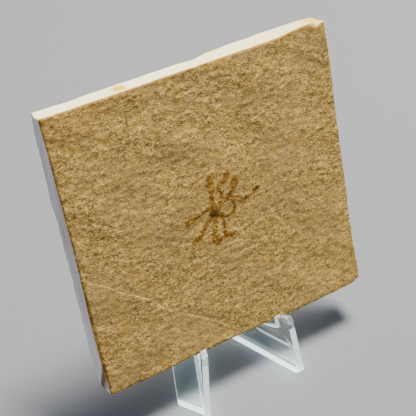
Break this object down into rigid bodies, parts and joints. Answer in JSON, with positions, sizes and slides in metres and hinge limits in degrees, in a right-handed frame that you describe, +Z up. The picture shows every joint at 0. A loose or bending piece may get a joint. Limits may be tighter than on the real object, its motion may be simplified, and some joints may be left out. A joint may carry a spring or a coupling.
{
  "type": "brittle star fossil plate",
  "caption": "Square sawn slab of buff limestone with a small flattened fossil on its face, leaning back on a clear V-shaped plastic easel.",
  "frame": {"origin": "centre of the underside of the whole object's box, on the table plane", "axes": "+Z up, the fossil's face looks toward -Y and up, +X to the right of someone facing it"},
  "size_m": [0.1016, 0.0565, 0.1075],
  "materials": {
    "limestone": "matte",
    "fossil_brown": "matte",
    "clear_plastic": "gloss"
  },
  "bodies": {
    "root": {"limestone_plate": "limestone", "brittle_star_fossil": "fossil_brown", "clear_easel": "clear_plastic"}
  },
  "joints": []
}
